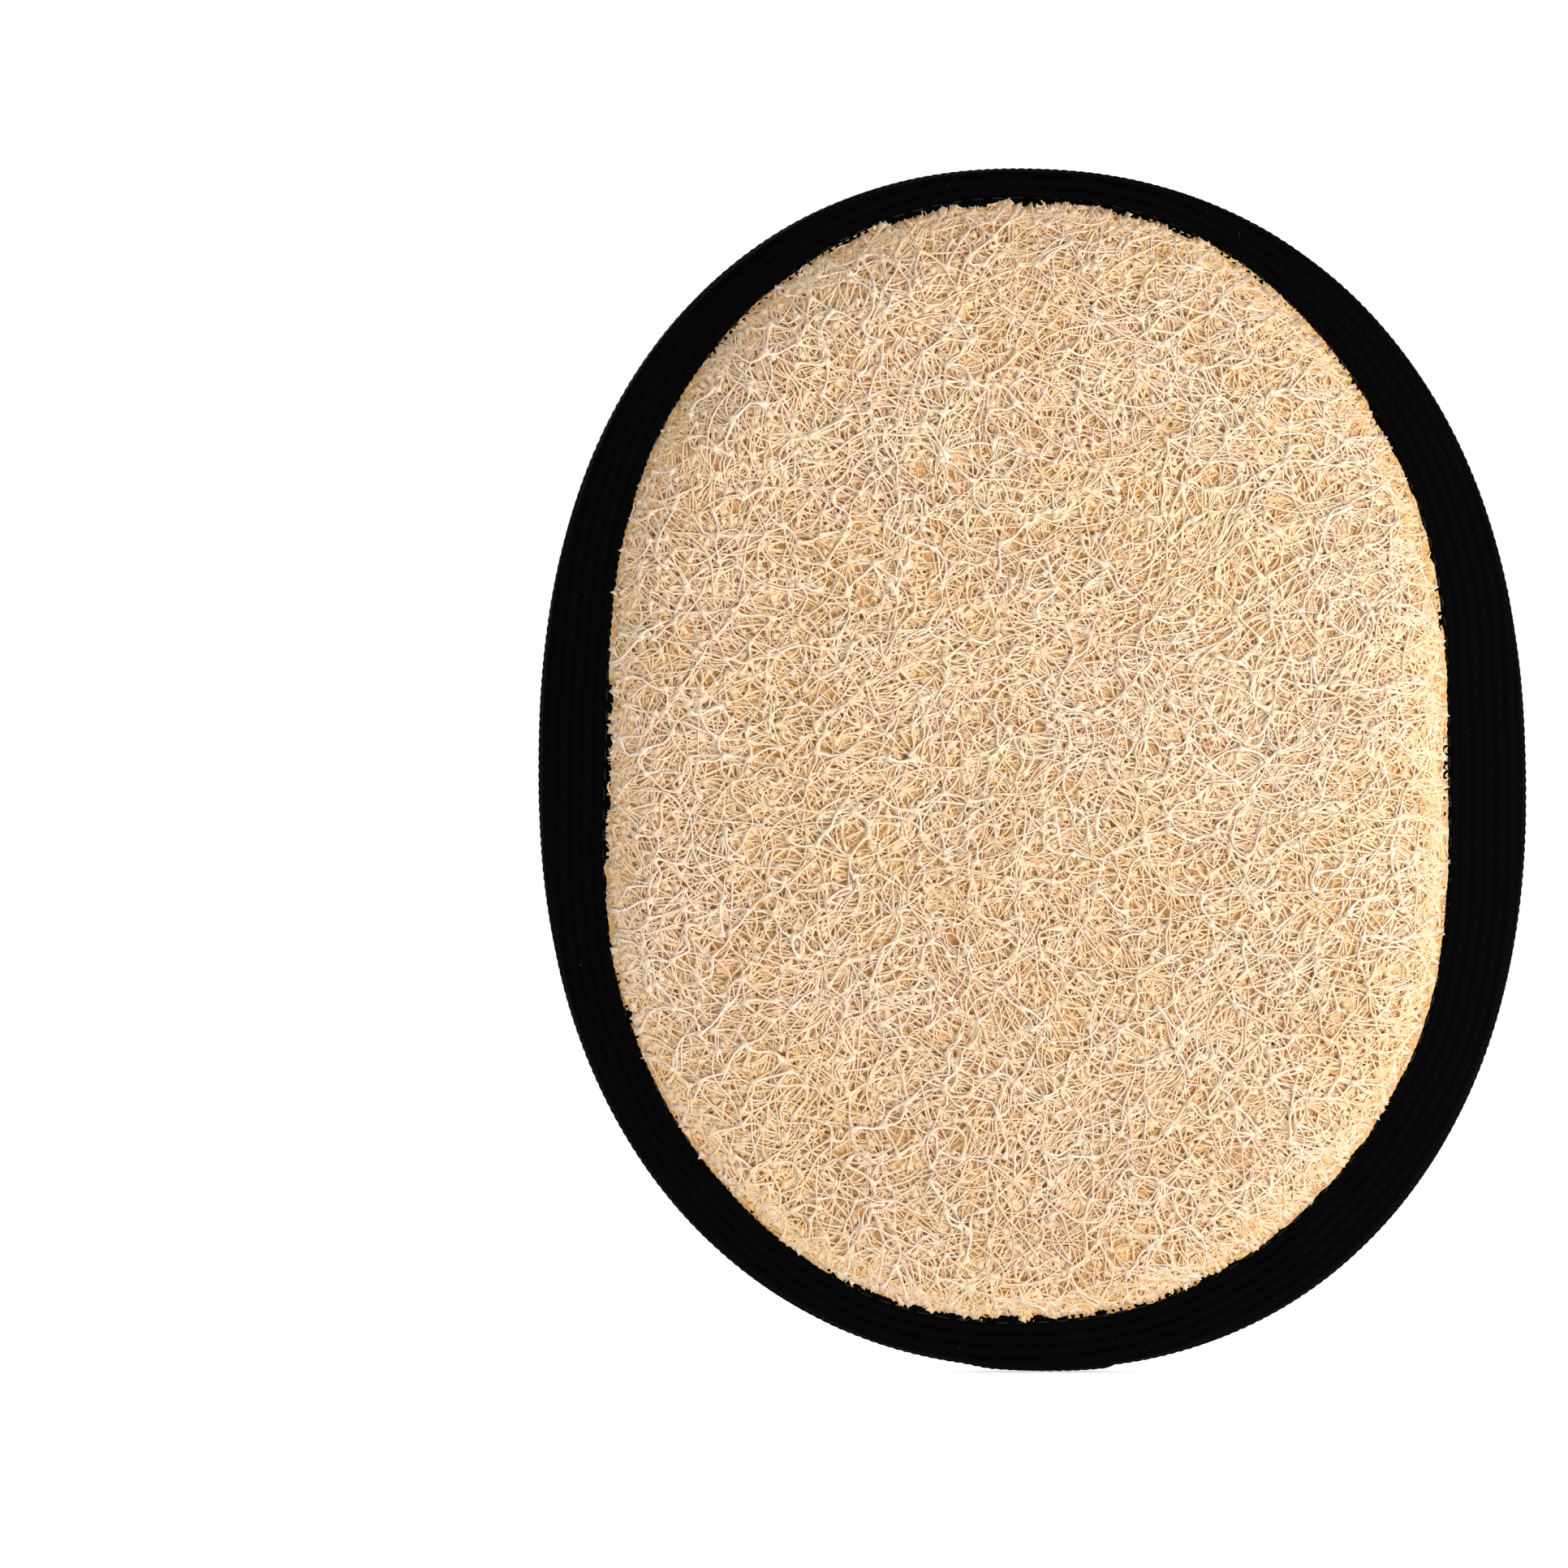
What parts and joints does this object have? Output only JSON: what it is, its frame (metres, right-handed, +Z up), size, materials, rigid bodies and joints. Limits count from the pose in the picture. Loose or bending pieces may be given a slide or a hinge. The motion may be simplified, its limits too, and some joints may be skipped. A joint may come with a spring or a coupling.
{
  "type": "loofah back scrubber",
  "caption": "Oval bath pad with a natural loofah face, a terry cloth back, a bound edge, an elastic hand strap and a hanging loop.",
  "frame": {"origin": "middle of the hand slot, half way between the terry pile and the strap at rest, at the middle of the strap's width", "axes": "+Z up along the pad's height towards the hanging loop, +Y away from the loofah through the strap, +X to the right as seen from the loofah side"},
  "size_m": [0.148, 0.0235, 0.1817],
  "materials": {
    "loofah": "dry plant fibre, matte with a faint sheen",
    "terry": "soft uncut pile",
    "binding_tape": "matte knitted tape",
    "elastic": "ribbed woven elastic",
    "loop_tape": "matte knitted tape",
    "thread": "spun polyester thread"
  },
  "bodies": {
    "root": {"loofah_sheet": "loofah", "terry_cloth": "terry", "edge_binding": "binding_tape", "strap_end_left": "elastic", "strap_end_right": "elastic", "loop_root": "loop_tape", "binding_stitches_front": "thread", "binding_stitches_back": "thread", "strap_tack_left": "thread", "strap_tack_right": "thread", "loop_tack": "thread"},
    "strap_mid": {"strap_middle": "elastic"},
    "strap_left": {"strap_side_left": "elastic"},
    "strap_right": {"strap_side_right": "elastic"},
    "loop": {"hanging_loop": "loop_tape"}
  },
  "joints": [
    {"name": "strap_lift", "type": "slide", "parent": "root", "child": "strap_mid", "axis": [0, 1, 0], "range_m": [0, 0.018], "stiffness_N_per_m": 100},
    {"name": "strap_swing_left", "type": "hinge", "parent": "root", "child": "strap_left", "pos_m": [-0.06106, -0.005, 0], "axis": [0, 0, 1], "range_deg": [0, 26.5]},
    {"name": "strap_swing_right", "type": "hinge", "parent": "root", "child": "strap_right", "pos_m": [0.06106, -0.005, 0], "axis": [0, 0, -1], "range_deg": [0, 26.5]},
    {"name": "loop_swing", "type": "hinge", "parent": "root", "child": "loop", "pos_m": [0.0046, -0.0044, 0.08334], "axis": [1, 0, 0], "range_deg": [0, 163]}
  ],
  "couplings": [
    {"joint": "strap_swing_left", "follows": "strap_lift", "rad_per_m": 25.6},
    {"joint": "strap_swing_right", "follows": "strap_lift", "rad_per_m": 25.6}
  ]
}
